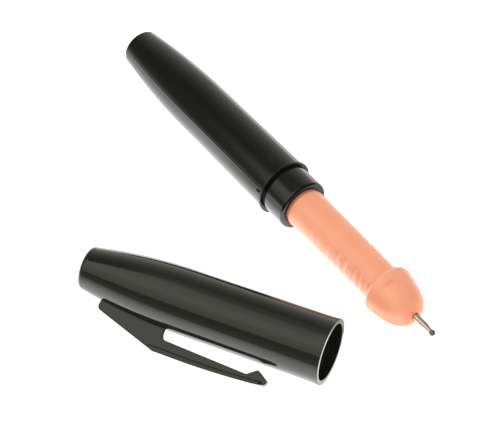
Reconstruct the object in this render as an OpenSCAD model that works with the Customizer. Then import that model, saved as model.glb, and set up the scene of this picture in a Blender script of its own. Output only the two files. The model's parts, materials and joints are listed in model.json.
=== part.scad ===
// Novelty ballpoint pen, uncapped, lying beside its clip cap. Millimetres.
// The pen's axis runs along X, tail to point, and the barrel's rim is its zero.
// The cap is laid off to one side, its mouth turned the same way as the point.

/* [Barrel] */
// Length of the barrel, from its rim to the flat tail
barrel_len = 74.3; // [65:0.1:90]
// Diameter of the barrel as it reaches the rim, without the lip
barrel_d = 17.7; // [16.8:0.1:22]
// Diameter of the barrel where the tail starts to close in
belly_d = 16.95; // [15:0.05:18]
// Diameter of the tail before its edge is rounded
tail_d = 11.7; // [9:0.1:14]
// Length over which the tail closes in
tail_curve = 33.3; // [20:0.1:45]
// Radius of the tail's edge
tail_round = 1.4; // [0.6:0.1:2.5]
// Height of the lip at the rim above the barrel's side
lip_rise = 0.35; // [0.1:0.05:0.8]
// Length of the lip at its full diameter
lip_len = 0.4; // [0.2:0.1:3]
// Length of the flare that leads up to the lip
lip_flare = 0.9; // [0.5:0.1:5]
// Wall of the barrel
barrel_wall = 1.8; // [1.2:0.1:2.4]
// Thickness of the closed tail
tail_wall = 2.2; // [1.2:0.1:4]

/* [Collar] */
// Diameter of the collar that the cap slides over
collar_d = 16.4; // [15.4:0.05:17]
// Length of the collar in front of the rim
collar_len = 9.3; // [6:0.1:14]
// Radius of the collar's front edge
collar_round = 1; // [0.4:0.1:1.6]
// Length of the dark groove between the collar and the rim
groove_len = 1; // [0.3:0.1:1.5]
// Depth of that groove
groove_depth = 0.5; // [0.2:0.05:0.8]
// Diameter of the spigot that holds the collar in the barrel
spigot_d = 14.2; // [13.4:0.1:14.6]
// Length of the spigot
spigot_len = 11; // [6:0.5:16]

/* [Grip sleeve] */
// Diameter of the sleeve where it leaves the collar
shaft_d = 12.2; // [10:0.1:12.4]
// Diameter of the sleeve just behind its head
neck_d = 11.5; // [9:0.1:12]
// Length of the sleeve from the collar to its head
shaft_len = 38.8; // [30:0.1:50]
// Depth of the soft folds round the sleeve
fold_depth = 0.12; // [0.05:0.01:0.4]
// Distance from one fold to the next
fold_pitch = 3.8; // [2.5:0.1:6]
// Smooth length of sleeve at each end of the folds
fold_margin = 6; // [3:0.1:10]
// Length of the head
head_len = 13.2; // [9:0.1:18]
// Length of the undercut ridge at the back of the head
ridge_len = 1.3; // [0.9:0.1:2]
// Radius of the ridge's edge
ridge_round = 0.8; // [0.4:0.05:0.85]
// How far the head's flank is drawn in, as a share of its radius
flank_draw = 0.28; // [0:0.02:0.4]
// Bluntness of the head: 1 gives an ellipse, less a fuller front
flank_power = 0.7; // [0.6:0.05:1]
// Diameter of the dimple that the point comes out of
dimple_d = 3; // [2.5:0.1:4]
// Depth of that dimple
dimple_depth = 0.7; // [0.2:0.1:1.2]
// Thickness of the flange that stops the sleeve pulling out
flange_root = 1.6; // [0.8:0.1:3]

/* [Refill] */
// Outer diameter of the ink tube
tube_d = 3; // [2.6:0.1:3.6]
// Bore of the ink tube
tube_bore = 1.9; // [1.5:0.1:2]
// Empty length at the tail of the ink tube
tube_ullage = 24; // [5:1:50]
// Depth of the refill's socket in the tail
socket_depth = 8; // [4:0.5:14]
// Wall of the refill's socket
socket_wall = 1.1; // [0.6:0.1:2]
// Thickness of the ribs that stay the socket
rib_t = 1; // [0.6:0.1:2]
// Number of ribs round the socket
rib_count = 4; // [3:1:6]
// Thickness of sleeve between the tube's end and the front of the head
nose_wall = 3.4; // [2:0.1:6]
// Diameter of the metal point's shank
point_d = 2.12; // [2:0.02:2.4]
// Length of shank in front of the head
shank_len = 4.7; // [2:0.1:8]
// Length of the point's cone
cone_len = 3; // [1.5:0.1:5]
// Diameter of the cone's front edge, which holds the ball
nose_d = 1.12; // [1.1:0.02:1.2]
// Length of the point's plug in the ink tube
plug_len = 6; // [3:0.5:12]
// Diameter of the ink channel through the point
channel_d = 0.6; // [0.3:0.05:0.8]
// Diameter of the writing ball
ball_d = 1; // [0.94:0.01:1.01]
// How far the ball's centre lies behind the cone's front edge
ball_inset = 0.15; // [0.13:0.01:0.2]
// Diameter of the bead that seals the point until its first use
bead_d = 1.64; // [1.6:0.02:2]
// Length of cone that the bead covers
bead_cover = 0.2; // [0.1:0.05:0.4]

/* [Cap] */
// Diameter of the cap as it reaches the mouth, without the flare
cap_d = 19.8; // [19:0.1:22]
// Growth of the cap's radius in the flare at its mouth
mouth_flare = 0.2; // [0.05:0.05:0.5]
// Length of the flare
flare_len = 5; // [2:0.1:10]
// Radius of the mouth's edges
mouth_round = 0.35; // [0.1:0.05:0.6]
// Diameter of the cap where its end starts to close in
cap_belly_d = 19.4; // [18.4:0.1:20]
// Diameter of the closed end before its edge is rounded
end_d = 12.5; // [11:0.1:14]
// Length over which the end closes in
end_curve = 33; // [25:0.5:38]
// Radius of the closed end's edge
end_round = 1.6; // [0.6:0.1:2.5]
// Thickness of the closed end
end_wall = 4.3; // [3:0.1:8]
// Wall of the cap round the end of its hollow
hollow_wall = 1.1; // [0.8:0.1:1.2]
// How far the straight bore runs on past the head's ridge when the cap is on
bore_past = 4.6; // [0.5:0.1:6]

/* [Clip] */
// Distance of the fin from the cap's closed end
fin_inset = 8; // [4:0.1:14]
// Length of the fin that carries the clip's arm
fin_len = 23.3; // [16:0.1:28]
// Height of the fin's blunt end above the cap
fin_end_h = 2.8; // [2.5:0.1:5]
// Radius of the fin's blunt end
fin_round = 1.4; // [0.5:0.1:1.6]
// Distance from the fin's outer corner to the root of the arm
fin_crest = 3.3; // [2:0.1:8]
// How far the fin's outer corner is cut down, and over what length
corner_drop = 0.1; // [0.05:0.05:0.8]
// Length of the arm, from its root to its tip
arm_len = 31.9; // [20:0.1:36]
// Gap between the cap and the arm at its root
gap_root = 3; // [2.5:0.05:5]
// Gap between the cap and the arm beside its tooth
gap_tip = 4.1; // [3:0.05:6]
// Gap between the cap and the tooth
gap_tooth = 2.05; // [0.6:0.05:2.8]
// Height of the arm at its root
arm_h_root = 4.1; // [2.5:0.1:5]
// Height of the arm at its tip
arm_h_tip = 1.7; // [1.3:0.1:3]
// How far the arm's back bows out between its ends
arm_bow = 0.5; // [0:0.05:1]
// Length of the tooth along the arm
tooth_len = 6.6; // [5.5:0.1:8]
// Distance of the tooth's point from the tip of the arm
tooth_lead = 3.6; // [2.5:0.1:4.2]
// Radius of the tooth's point
tooth_round = 0.9; // [0.4:0.05:1.2]
// Height of the blunt tip of the arm
tip_h = 1.3; // [0.8:0.05:1.6]
// Chamfer at the outer end of the arm
tip_chamfer = 0.5; // [0.2:0.05:0.7]
// Radius of the slot's inner corner
slot_round = 1.9; // [0.5:0.1:2.2]
// Thickness of the fin and of the arm's web
web_t = 2.2; // [1.4:0.1:3]
// Thickness of the flange along the arm's back
flange_t = 2.8; // [2.4:0.1:4]
// Height of that flange at the arm's root
flange_h_root = 1.5; // [1:0.05:2]
// Height of that flange at the arm's tip
flange_h_tip = 1.05; // [0.85:0.05:1.2]
// Distance of the flange's start from the fin's outer corner
flange_lead = 2.1; // [0:0.1:3]
// Distance of the flange's end from the end of the arm
flange_inset = 1; // [0.6:0.1:4]

/* [Fits] */
// Clearance between the cap and the collar, on the radius
cap_gap = 0.04; // [0.01:0.01:0.05]
// Clearance round the sleeve's head in the cap's bore, on the radius
head_gap = 0.36; // [0.1:0.02:1]
// Clearance of pieces that are bonded or pressed in, on the radius
bond_gap = 0.02; // [0:0.01:0.05]
// Clearance round the sleeve in the collar's mouth, on the radius
sleeve_gap = 0.12; // [0.05:0.01:0.3]
// Clearance round the ink tube, on the radius
tube_gap = 0.06; // [0.02:0.01:0.15]
// Clearance of the ball in its socket, on the radius
ball_gap = 0.02; // [0.01:0.01:0.04]
// Clearance between the bead and the point
bead_gap = 0.04; // [0.02:0.01:0.06]
// Clearance between the capped point and the cap's closed end
point_room = 2.4; // [1:0.1:6]

/* [Layout] */
// Turn of the cap from the pen's axis, seen from above
cap_yaw = 28.9; // [0:0.1:60]
// Distance of the cap's mouth in front of the barrel's rim
cap_ahead = 57.6; // [40:0.1:80]
// Distance of the cap's mouth from the pen's axis
cap_aside = 27.2; // [24:0.1:50]

/* [Hidden] */

facets = 96;
curve_steps = 24;
round_steps = 8;
fold_steps = 8;
ridge_turn = 75;
nose_from = 215;
tooth_from = 232;
tooth_to = 305;
over = 1;

// Places along the pen's axis, forward of the rim
head_at = collar_len + shaft_len;
head_front = head_at + head_len;
tube_front = head_front - nose_wall;
cone_at = head_front + shank_len;
nose_at = cone_at + cone_len;
ball_at = nose_at - ball_inset;
bead_at = nose_at - bead_cover + bead_d / 2;
nose_len = bead_at + bead_d / 2;
tail_floor = barrel_len - tail_wall;
tube_back = tail_floor - bond_gap;

// Barrel's lip and taper, and how far its tail closes in
lip_r = barrel_d / 2 + lip_rise;
tail_from = barrel_len - tail_curve;
barrel_taper = (barrel_d - belly_d) / 2 / tail_from;
tail_drop = barrel_d / 2 - barrel_taper * barrel_len - tail_d / 2;

// Seat of the spigot and of the sleeve's flange in the barrel's mouth
seat_r = spigot_d / 2 + bond_gap;
seat_len = spigot_len + flange_root + bond_gap;

// Cap's bore and the head that passes through it, the cap's length, taper and end
bore_r = collar_d / 2 + cap_gap;
head_r = bore_r - head_gap;
bore_len = head_at + ridge_len + bore_past;
cap_len = nose_len + point_room + end_wall;
hollow_len = cap_len - end_wall;
end_from = cap_len - end_curve;
cap_taper = (cap_d - cap_belly_d) / 2 / end_from;
end_drop = cap_d / 2 - cap_taper * cap_len - end_d / 2;

// Clip's places behind the cap's mouth, and radii from the cap's axis
fin_back = cap_len - fin_inset;
arm_root = fin_back - fin_len;
fin_corner = arm_root + fin_crest;
arm_tip = arm_root - arm_len;
tooth_back = arm_tip + tooth_len;
tooth_peak = arm_tip + tooth_lead;
inner_root = cap_r(arm_root) + gap_root;
inner_tip = cap_r(tooth_back) + gap_tip;
outer_root = inner_root + arm_h_root;
outer_tip = inner_tip + arm_h_tip;

// Radius of the barrel's outside at a distance behind the rim
function barrel_r(x) =
    barrel_d / 2 - barrel_taper * x - tail_drop * pow(max(0, x - tail_from) / tail_curve, 2);
// Slope of the barrel's side, in degrees, at its tail
tail_slope = atan(barrel_taper + 2 * tail_drop * (tail_curve - tail_round) / pow(tail_curve, 2));
// Radius of the cap's outside at a distance behind its mouth
function cap_r(x) =
    cap_d / 2 - cap_taper * x - end_drop * pow(max(0, x - end_from) / end_curve, 2)
    + mouth_flare * pow(max(0, 1 - x / flare_len), 2);
// Slope of the cap's side, in degrees, at its closed end
end_slope = atan(cap_taper + 2 * end_drop * (end_curve - end_round) / pow(end_curve, 2));

// Points of an arc about a centre, from one angle to another
function arc(centre, r, from, to, n = round_steps) =
    [for (i = [0 : n]) let (a = from + (to - from) * i / n) centre + r * [cos(a), sin(a)]];

// Back of the arm: a bow from its root to its tip, less a drop at each end, as [place, radius]
function arm_back(from, to, drop_root = 0, drop_tip = 0) = [for (i = [0 : curve_steps])
    let (u = from + (to - from) * i / curve_steps,
         bow = outer_root + (outer_tip - outer_root) * u + 4 * arm_bow * u * (1 - u))
    [arm_len * u - arm_root, bow - drop_root - (drop_tip - drop_root) * u]];

// How the pen and the cap lie: each on its rim and on the fullest part of its side
pen_lie = min([for (i = [0 : curve_steps])
    let (x = tail_from + tail_curve * i / curve_steps)
    atan((lip_r - barrel_r(x)) / (x - lip_len))]);
rim_z = (lip_r + lip_len * tan(pen_lie)) * cos(pen_lie);
mouth_r = cap_r(mouth_round);
cap_lie = min([for (i = [0 : curve_steps])
    let (x = end_from + end_curve * i / curve_steps)
    atan((mouth_r - cap_r(x)) / (x - mouth_round))]);
mouth_z = (mouth_r + mouth_round * tan(cap_lie)) * cos(cap_lie);
// The cap has rolled over until the back of its clip meets the surface
clip_roll = min([for (p = arm_back(0, 1))
    asin((mouth_z + p.x * sin(cap_lie)) / cos(cap_lie) / norm([p.y, flange_t / 2]))
    - atan(flange_t / 2 / p.y)]);

// Shift that puts the whole on its own middle
end_reach = (cap_len - end_round) * sin(cap_yaw) + (end_d / 2 - end_round) * cos(cap_yaw) + end_round;
shift_x = (barrel_len - nose_len) / 2;
shift_y = (cap_aside + end_reach - lip_r) / 2;

// Places a piece of the pen, drawn along X from the barrel's rim
module on_pen() {
    translate([shift_x, shift_y, rim_z]) rotate([0, -pen_lie, 0]) children();
}

// Places a piece of the cap, drawn along X up to the mouth, its clip towards -Y
module on_cap() {
    translate([shift_x + cap_ahead, shift_y - cap_aside, mouth_z])
        rotate([0, 0, cap_yaw]) rotate([0, -cap_lie, 0]) rotate([clip_roll, 0, 0]) children();
}

// Turns a profile of [radius, place along X] round the X axis
module turned(profile) {
    rotate([0, 90, 0]) rotate_extrude($fn = facets) polygon(profile);
}

// Outside of the barrel, from the lip back to the tail
function barrel_outline() = concat(
    [[lip_r, 0], [lip_r, -lip_len], [barrel_r(lip_len + lip_flare), -lip_len - lip_flare]],
    [for (i = [0 : curve_steps - 1])
        let (x = tail_from + (tail_curve - tail_round * (1 - sin(tail_slope))) * i / curve_steps)
        [barrel_r(x), -x]],
    arc([barrel_r(barrel_len - tail_round) - tail_round * cos(tail_slope), tail_round - barrel_len],
        tail_round, -tail_slope, -90));

// Hollow of the barrel behind the seat of the spigot
function barrel_hollow() = concat(
    [[0, -seat_len]],
    [for (i = [0 : curve_steps])
        let (x = seat_len + (tail_floor - seat_len) * i / curve_steps)
        [barrel_r(x) - barrel_wall, -x]],
    [[0, -tail_floor]]);

// Barrel: tapered shell with a lip, and a ribbed socket for the refill in its tail
module barrel() {
    socket_r = tube_d / 2 + tube_gap;
    color("#1d1d1f") on_pen() difference() {
        union() {
            difference() {
                turned(concat([[0, 0]], barrel_outline(), [[0, -barrel_len]]));
                turned(barrel_hollow());
                turned([[0, over], [seat_r, over], [seat_r, -seat_len], [0, -seat_len]]);
            }
            intersection() {
                translate([-tail_floor, 0, 0]) rotate([0, 90, 0]) union() {
                    cylinder(r = socket_r + socket_wall, h = socket_depth, $fn = facets);
                    for (i = [0 : rib_count - 1])
                        rotate([0, 0, 360 * i / rib_count])
                            translate([0, -rib_t / 2, 0]) cube([barrel_d / 2, rib_t, socket_depth]);
                }
                turned(barrel_hollow());
            }
        }
        translate([-tail_floor, 0, 0]) rotate([0, 90, 0])
            cylinder(r = socket_r, h = socket_depth + over, $fn = facets);
    }
}

// Collar: ring that the cap slides over, on a spigot in the barrel's mouth
module collar() {
    hole_r = shaft_d / 2 + sleeve_gap;
    groove_r = collar_d / 2 - groove_depth;
    color("#1a1a1c") on_pen() turned(concat(
        [[hole_r, -spigot_len], [spigot_d / 2, -spigot_len], [spigot_d / 2, 0], [groove_r, 0],
         [groove_r, groove_len], [collar_d / 2, groove_len]],
        arc([collar_d / 2 - collar_round, collar_len - collar_round], collar_round, 0, 90),
        [[hole_r, collar_len]]));
}

// Radius of the sleeve at a distance in front of the collar
function shaft_r(x) =
    let (run = shaft_len - 2 * fold_margin,
         u = x - fold_margin,
         folds = max(1, floor(run / fold_pitch)),
         fold = (u < 0 || u > run) ? 0 : (1 - cos(360 * folds * u / run)) / 2)
    shaft_d / 2 - (shaft_d - neck_d) / 2 * x / shaft_len - fold_depth * fold;

// Radius of the head along its flank, at an angle from its ridge to its front
function flank_r(a) = head_r * pow(cos(a), flank_power) * (1 - flank_draw * sin(a) * (1 - sin(a)));

// Grip sleeve: soft folded shaft and rounded head, bored for the refill
module grip_sleeve() {
    root = -spigot_len - flange_root;
    hole_r = point_d / 2 + bond_gap;
    bore = tube_d / 2 + tube_gap;
    run = shaft_len - 2 * fold_margin;
    steps = max(1, floor(run / fold_pitch)) * fold_steps;
    flank_len = head_len - ridge_len;
    last = acos(pow(dimple_d / 2 / head_r, 1 / flank_power));
    color("#f0ab88") on_pen() turned(concat(
        [[bore, root], [spigot_d / 2, root], [spigot_d / 2, -spigot_len],
         [shaft_d / 2, -spigot_len], [shaft_d / 2, collar_len]],
        [for (i = [0 : steps])
            let (x = fold_margin + run * i / steps)
            [shaft_r(x), collar_len + x]],
        [[neck_d / 2, head_at]],
        arc([head_r - ridge_round, head_at + ridge_len], ridge_round, -ridge_turn, 0),
        [for (i = [1 : curve_steps])
            let (a = last * i / curve_steps)
            [flank_r(a), head_at + ridge_len + flank_len * sin(a)]],
        [[hole_r, head_front - dimple_depth], [hole_r, tube_front], [bore, tube_front]]));
}

// Ink tube, from its socket in the tail to its seat in the head
module refill_tube() {
    color("#d8d8d2") on_pen() turned([[tube_bore / 2, -tube_back], [tube_d / 2, -tube_back],
                                      [tube_d / 2, tube_front], [tube_bore / 2, tube_front]]);
}

// Ink that fills the tube up to the point's plug
module ink_column() {
    ink_r = tube_bore / 2 - bond_gap;
    color("#1c2036") on_pen() turned([[0, tube_ullage - tube_back], [ink_r, tube_ullage - tube_back],
                                      [ink_r, tube_front - plug_len], [0, tube_front - plug_len]]);
}

// Metal point: plug in the tube, shank, cone and the socket that holds the ball
module ballpoint_tip() {
    plug_r = tube_bore / 2 - bond_gap;
    plug_at = tube_front - plug_len;
    socket_r = ball_d / 2 + ball_gap;
    rim_a = asin(ball_inset / socket_r);
    channel_a = -acos(channel_d / 2 / socket_r);
    color("#c9c7c2") on_pen() turned(concat(
        [[channel_d / 2, plug_at], [plug_r, plug_at], [plug_r, tube_front], [point_d / 2, tube_front],
         [point_d / 2, cone_at], [nose_d / 2, nose_at]],
        arc([0, ball_at], socket_r, rim_a, channel_a, curve_steps)));
}

// Writing ball, free to roll in the point's socket
module writing_ball() {
    color("#8a8c90") on_pen() translate([ball_at, 0, 0]) sphere(d = ball_d, $fn = facets);
}

// Bead that seals the point: hollow behind, so that it pulls straight off
module tip_bead() {
    bead_r = bead_d / 2;
    seat_r = nose_d / 2 + (point_d - nose_d) / 2 * bead_cover / cone_len + bead_gap;
    hollow_r = ball_d / 2 + bead_gap;
    seat_front = nose_at + bead_gap;
    color("#4b5060") on_pen() turned(concat(
        arc([0, bead_at], bead_r, -acos(seat_r / bead_r), 90, curve_steps),
        arc([0, ball_at], hollow_r, 90, asin((seat_front - ball_at) / hollow_r)),
        [[seat_r, seat_front]]));
}

// Outside of the cap, from its mouth back to the closed end
function cap_outline() = concat(
    arc([mouth_r - mouth_round, -mouth_round], mouth_round, 90, 0),
    [for (i = [1 : round_steps])
        let (x = mouth_round + (flare_len - mouth_round) * i / round_steps)
        [cap_r(x), -x]],
    [[cap_r(end_from), -end_from]],
    [for (i = [1 : curve_steps - 1])
        let (x = end_from + (end_curve - end_round * (1 - sin(end_slope))) * i / curve_steps)
        [cap_r(x), -x]],
    arc([cap_r(cap_len - end_round) - end_round * cos(end_slope), end_round - cap_len],
        end_round, -end_slope, -90));

// Closed solid of the cap's outside
module cap_body() {
    turned(concat([[0, 0]], cap_outline(), [[0, -cap_len]]));
}

// Hollow of the cap: a straight bore, then an end that follows the outside
function cap_hollow() = concat(
    [[0, over], [bore_r + mouth_round, over], [bore_r + mouth_round, 0]],
    arc([bore_r + mouth_round, -mouth_round], mouth_round, 90, 180),
    [[bore_r, -bore_len]],
    [for (i = [1 : curve_steps])
        let (x = bore_len + (hollow_len - bore_len) * i / curve_steps)
        [min(bore_r, cap_r(x) - hollow_wall), -x]],
    [[0, -hollow_len]]);

// Cap: tapered hollow shell with a flared mouth
module cap_shell() {
    color("#1b1b1d") on_cap() difference() {
        cap_body();
        turned(cap_hollow());
    }
}

// Stands an outline of [place, radius] on edge, so that it points towards -Y
module plate(t) {
    rotate([180, 0, 0]) translate([0, 0, -t / 2]) linear_extrude(t) children();
}

// Edge of the fin and of its flange along the crest, from the corner to the arm's root
function crest_edge() = [[-fin_corner, outer_root - corner_drop], [-fin_corner + corner_drop, outer_root],
                         [-arm_root, outer_root]];

// Fin: blunt end, sloping edge and crest, standing on the cap's side
module clip_fin() {
    centre = [fin_round - fin_back, cap_r(fin_back - fin_round) + fin_end_h - fin_round];
    edge = crest_edge()[0] - centre;
    edge_turn = atan2(edge.y, edge.x) + acos(fin_round / norm(edge));
    slope = tan(edge_turn - 90);
    color("#1c1c1e") on_cap() difference() {
        union() {
            plate(web_t) difference() {
                polygon(concat(
                    [[-arm_root, 0], [centre.x + fin_round * cos(nose_from), 0]],
                    arc(centre, fin_round, nose_from, edge_turn),
                    crest_edge()));
                polygon(concat(
                    [[over - arm_root, 0], [-arm_root - slot_round, 0]],
                    arc([-arm_root, inner_root - slot_round], slot_round, 180, 90),
                    [[over - arm_root, inner_root]]));
            }
            plate(flange_t) polygon(concat(
                [[-arm_root, outer_root - flange_h_root],
                 [-fin_corner - flange_lead, outer_root - flange_h_root],
                 crest_edge()[0] - flange_lead * [1, slope]],
                crest_edge()));
        }
        cap_body();
    }
}

// Arm: bowed web with a flange along its back, and a tooth that presses on the cloth
module clip_arm() {
    tooth_r = cap_r(tooth_peak) + gap_tooth;
    flange_end = 1 - flange_inset / arm_len;
    back_end = flange_end - flange_h_tip / arm_len;
    color("#1c1c1e") on_cap() {
        plate(web_t) polygon(concat(
            [[-arm_root, inner_root], [-tooth_back, inner_tip]],
            arc([-tooth_peak, tooth_r + tooth_round], tooth_round, tooth_from, tooth_to),
            [[-arm_tip, outer_tip - tip_h], [-arm_tip, outer_tip - tip_chamfer],
             [-arm_tip - tip_chamfer, outer_tip]],
            arm_back(back_end, 0)));
        plate(flange_t) polygon(concat(
            arm_back(0, back_end), arm_back(flange_end, 0, flange_h_root, flange_h_tip)));
    }
}

barrel();
collar();
grip_sleeve();
refill_tube();
ink_column();
ballpoint_tip();
writing_ball();
tip_bead();
cap_shell();
clip_fin();
clip_arm();
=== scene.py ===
import json
import math
import bpy
import numpy as np
from mathutils import Matrix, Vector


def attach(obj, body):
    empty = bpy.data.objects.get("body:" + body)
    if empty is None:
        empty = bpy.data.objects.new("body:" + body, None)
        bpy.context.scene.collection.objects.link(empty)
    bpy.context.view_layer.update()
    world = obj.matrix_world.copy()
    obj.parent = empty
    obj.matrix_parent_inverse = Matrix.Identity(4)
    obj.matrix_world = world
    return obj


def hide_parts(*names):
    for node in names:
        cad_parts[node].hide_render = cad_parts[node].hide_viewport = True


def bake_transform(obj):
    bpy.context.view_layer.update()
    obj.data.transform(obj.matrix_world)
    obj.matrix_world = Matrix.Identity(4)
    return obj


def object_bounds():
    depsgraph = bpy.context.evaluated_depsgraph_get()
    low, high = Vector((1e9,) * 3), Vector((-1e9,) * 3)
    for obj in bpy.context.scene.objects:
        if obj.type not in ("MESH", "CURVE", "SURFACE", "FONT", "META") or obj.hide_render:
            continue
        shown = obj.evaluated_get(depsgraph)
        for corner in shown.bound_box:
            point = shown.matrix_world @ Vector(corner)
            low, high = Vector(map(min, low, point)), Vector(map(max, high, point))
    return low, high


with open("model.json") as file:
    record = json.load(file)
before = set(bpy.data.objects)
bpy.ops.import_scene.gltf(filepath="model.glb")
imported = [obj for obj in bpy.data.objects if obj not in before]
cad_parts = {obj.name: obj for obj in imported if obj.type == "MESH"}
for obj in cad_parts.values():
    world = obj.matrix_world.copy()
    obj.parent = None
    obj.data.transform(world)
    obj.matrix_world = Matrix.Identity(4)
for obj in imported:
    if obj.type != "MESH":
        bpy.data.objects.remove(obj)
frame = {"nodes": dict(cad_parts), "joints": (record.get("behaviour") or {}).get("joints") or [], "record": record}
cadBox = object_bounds()  # the CAD box, before any new piece
mm = 0.001


def unit(v):
    return np.asarray(v, float) / np.linalg.norm(v)


# axes of a lying piece: along its length, across it, and up, each square to the others
def lyingAt(origin, along, upward):
    along = unit(along)
    across = unit(np.cross(upward, along))
    return {"origin": np.asarray(origin, float), "along": along, "across": across, "up": np.cross(along, across)}


# points at a distance along the axis and a radius from it; angle 0 is the -across flank, a quarter turn is up
def spun(place, along, radius, angle):
    out = np.cos(angle)[..., None] * -place["across"] + np.sin(angle)[..., None] * place["up"]
    return place["origin"] + mm * (along[..., None] * place["along"] + radius[..., None] * out)


# points of an upright plate: along the axis, out from it towards -across, and to the plate's side
def onPlate(place, along, out, side):
    return place["origin"] + mm * (along[..., None] * place["along"]
                                   - out[..., None] * place["across"] + side[..., None] * place["up"])


# corners [along, radius, fillet] to a line: each fillet is an arc that touches both sides,
# with a support point just before and after it so that flat stretches shade flat
def filleted(corners, steps=7, support=0.3):
    corners = np.array(corners, float)
    line = [corners[:1, :2]]
    for before, here, after in zip(corners, corners[1:], corners[2:]):
        back, ahead = before[:2] - here[:2], after[:2] - here[:2]
        backLen, aheadLen = np.linalg.norm(back), np.linalg.norm(ahead)
        back, ahead = back / backLen, ahead / aheadLen
        half = 0.5 * math.acos(np.clip(back @ ahead, -1, 1))
        reach = min(here[2] / math.tan(half), 0.45 * backLen, 0.45 * aheadLen)
        centre = here[:2] + unit(back + ahead) * reach / math.cos(half)
        first, last = here[:2] + back * reach - centre, here[:2] + ahead * reach - centre
        turn = math.pi - 2 * half
        s = np.linspace(0, 1, steps)[:, None]
        arc = centre + (np.sin((1 - s) * turn) * first + np.sin(s * turn) * last) / math.sin(turn)
        line += [[here[:2] + back * reach * (1 + support)], arc, [here[:2] + ahead * reach * (1 + support)]]
    return np.vstack(line + [corners[-1:, :2]])


# arc of a profile: centre plus radius times the sine along and the cosine outwards
def profileArc(centre, radius, startTurn, endTurn, steps):
    a = np.radians(np.linspace(startTurn, endTurn, steps))
    return np.stack([centre[0] + radius * np.sin(a), centre[1] + radius * np.cos(a)], -1)


# rises from 0 to 1 between two places, level at both ends
def eased(x, low, high):
    t = np.clip((x - low) / (high - low), 0, 1)
    return t * t * (3 - 2 * t)


# bell of height 1 about a place
def bell(x, middle, width):
    return np.exp(-((x - middle) / width) ** 2)


# an angle's difference from another, between half a turn back and half a turn on
def turnFrom(angle, middle):
    return (angle - middle + np.pi) % (2 * np.pi) - np.pi


# a grid of points to a closed mesh: quads join each row to the next and wrap round the columns,
# the last row joins the first on a ring, and a pole closes an end with a fan
def gridPiece(name, grid, ring=False, startPole=None, endPole=None):
    rows, cols = grid.shape[:2]
    row = np.arange(rows if ring else rows - 1)[:, None]
    nextRow = (row + 1) % rows
    col = np.arange(cols)
    nextCol = (col + 1) % cols
    quads = np.stack([row * cols + col, row * cols + nextCol, nextRow * cols + nextCol, nextRow * cols + col], -1)
    quads = quads.reshape(-1, 4)
    points, fans = grid.reshape(-1, 3), np.zeros((0, 3), int)
    lastRow = (rows - 1) * cols
    for pole, near, far in ((startPole, nextCol, col), (endPole, lastRow + col, lastRow + nextCol)):
        if pole is not None:
            fans = np.vstack([fans, np.stack([np.full(cols, len(points)), near, far], -1)])
            points = np.vstack([points, pole])
    corners = np.vstack([quads[:, :3], quads[:, [0, 2, 3]], fans])
    p = points - points.mean(0)
    volume = np.sum(p[corners[:, 0]] * np.cross(p[corners[:, 1]], p[corners[:, 2]]))
    turnOver = -1 if volume < 0 else 1  # faces point outwards
    mesh = bpy.data.meshes.new(name)
    mesh.from_pydata(points.tolist(), [], quads[:, ::turnOver].tolist() + fans[:, ::turnOver].tolist())
    mesh.polygons.foreach_set("use_smooth", np.ones(len(mesh.polygons), bool))
    mesh.update()
    obj = bpy.data.objects.new(name, mesh)
    bpy.context.scene.collection.objects.link(obj)
    return obj


# a number for every point of a piece, for its material; poles take the last one
def setField(obj, name, values):
    field = obj.data.attributes.new(name, "FLOAT", "POINT")
    flat = values.ravel()
    spare = len(obj.data.vertices) - len(flat)
    field.data.foreach_set("value", np.concatenate([flat, np.full(spare, flat[-1])]).astype(np.float32))


def fullTurn(count):
    return np.linspace(0, 2 * np.pi, count, endpoint=False)


def poleOf(place, along):
    return place["origin"] + mm * along * place["along"]


# a profile of [along, radius] turned once round the axis in equal steps
def lathed(place, profile, steps):
    angle = fullTurn(steps)
    along = profile[:, :1] + 0 * angle
    return spun(place, along, profile[:, 1:] + 0 * angle, angle + 0 * along)


def newMaterial(name):
    mat = bpy.data.materials.new(name)
    mat.use_nodes = True
    tree = mat.node_tree
    return mat, tree, tree.nodes["Principled BSDF"]


# a plain value or another node's output into an input; a colour gets its fourth number
def feed(tree, slot, source):
    if isinstance(source, bpy.types.NodeSocket):
        tree.links.new(source, slot)
    else:
        slot.default_value = (*source, 1) if slot.type == "RGBA" else source


def feedAll(tree, node, sources):
    for name, source in sources.items():
        feed(tree, node.inputs[name], source)


# one node with its settings, and its inputs by name, or by number as n0, n1 and so on
def addNode(tree, kind, settings=None, **inputs):
    node = tree.nodes.new("ShaderNode" + kind)
    for key, value in (settings or {}).items():
        setattr(node, key, value)
    for key, source in inputs.items():
        wanted = int(key[1:]) if key[0] == "n" and key[1:].isdigit() else key.replace("_", " ")
        feed(tree, node.inputs[wanted], source)
    return node


# noise on object coordinates, turned to a piece's own axes and stretched along them
def pieceNoise(tree, place, stretch, detail, roughness=0.5):
    turn = Matrix([place["along"], place["across"], place["up"]]).to_euler()
    coords = addNode(tree, "TexCoord").outputs["Object"]
    turned = addNode(tree, "Mapping", None, Vector=coords, Rotation=turn).outputs["Vector"]
    sized = addNode(tree, "Mapping", None, Vector=turned, Scale=stretch).outputs["Vector"]
    noise = addNode(tree, "TexNoise", None, Vector=sized, Scale=1.0, Detail=detail, Roughness=roughness)
    return noise.outputs["Fac"]


def ranged(tree, value, low, high, newLow, newHigh):
    node = addNode(tree, "MapRange", {"clamp": True}, Value=value,
                   From_Min=low, From_Max=high, To_Min=newLow, To_Max=newHigh)
    return node.outputs["Result"]


def mixed(tree, share, first, second):
    return addNode(tree, "Mix", {"data_type": "RGBA"}, n0=share, n6=first, n7=second).outputs[2]


def combined(tree, how, first, second):
    return addNode(tree, "Math", {"operation": how}, n0=first, n1=second).outputs[0]


def product(tree, first, *others):
    for other in others:
        first = combined(tree, "MULTIPLY", first, other)
    return first


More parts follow.
